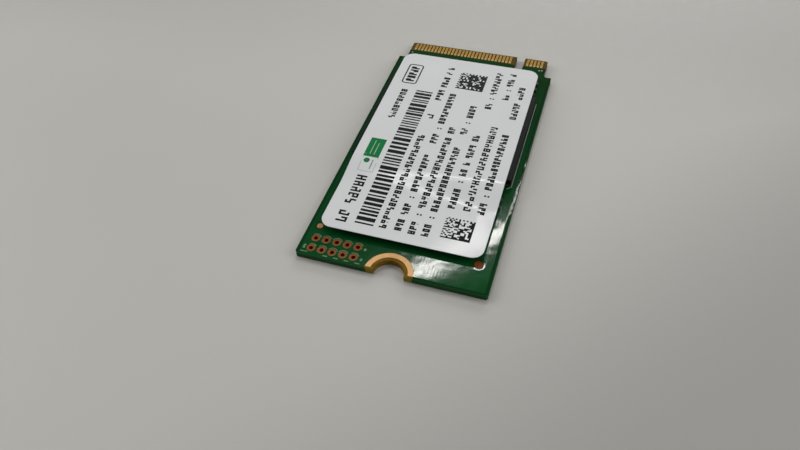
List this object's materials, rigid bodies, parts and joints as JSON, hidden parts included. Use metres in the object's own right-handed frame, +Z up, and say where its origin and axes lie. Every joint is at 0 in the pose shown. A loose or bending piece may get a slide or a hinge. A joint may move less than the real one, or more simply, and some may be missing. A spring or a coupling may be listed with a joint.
{
  "type": "solid state drive card",
  "caption": "Slim storage drive card: green circuit board with keyed gilded card edge, half-round screw notch, black memory package and a white printed label over it.",
  "frame": {"origin": "centre of the board's outline on its underside", "axes": "+X across the board towards the key notch's side, +Y along it towards the card edge, +Z up through the label"},
  "size_m": [0.022, 0.042, 0.0021],
  "materials": {
    "green_mask": "glossy green mask over laminate, brown laminate bare at the card edge and the screw notch",
    "gilding": "thin gold plating on copper, satin",
    "copper_plating": "plated copper, dull",
    "solder": "tin solder, satin",
    "substrate": "sawn laminate, dark",
    "black_mould": "black moulding compound, fine matte",
    "ferrite": "dark grey pressed ferrite",
    "chip_ceramic": "tan fired ceramic",
    "resistor_coat": "dark coating on ceramic",
    "lid_metal": "plated lid, satin",
    "label_film": "white printed film, semi-gloss"
  },
  "bodies": {
    "root": {"alignment_target_left": "gilding", "alignment_target_right": "gilding", "capacitor_bodies": "chip_ceramic", "capacitor_terminals": "solder", "circuit_board": "green_mask", "crystal_base": "resistor_coat", "crystal_lid": "lid_metal", "edge_contacts_lower_long": "gilding", "edge_contacts_lower_short": "gilding", "edge_contacts_upper_long": "gilding", "edge_contacts_upper_short": "gilding", "inductor_inner_body": "ferrite", "inductor_inner_terminals": "solder", "inductor_outer_body": "ferrite", "inductor_outer_terminals": "solder", "inductor_right_body": "ferrite", "inductor_right_terminals": "solder", "input_capacitor_bodies": "chip_ceramic", "input_capacitor_terminals": "solder", "label": "label_film", "package_balls": "solder", "package_mould": "black_mould", "package_substrate": "substrate", "power_controller_body": "black_mould", "power_controller_leads": "solder", "resistor_bodies": "resistor_coat", "resistor_terminals": "solder", "screw_pad_lower": "gilding", "screw_pad_upper": "gilding", "test_hole_barrels": "copper_plating"}
  },
  "joints": []
}
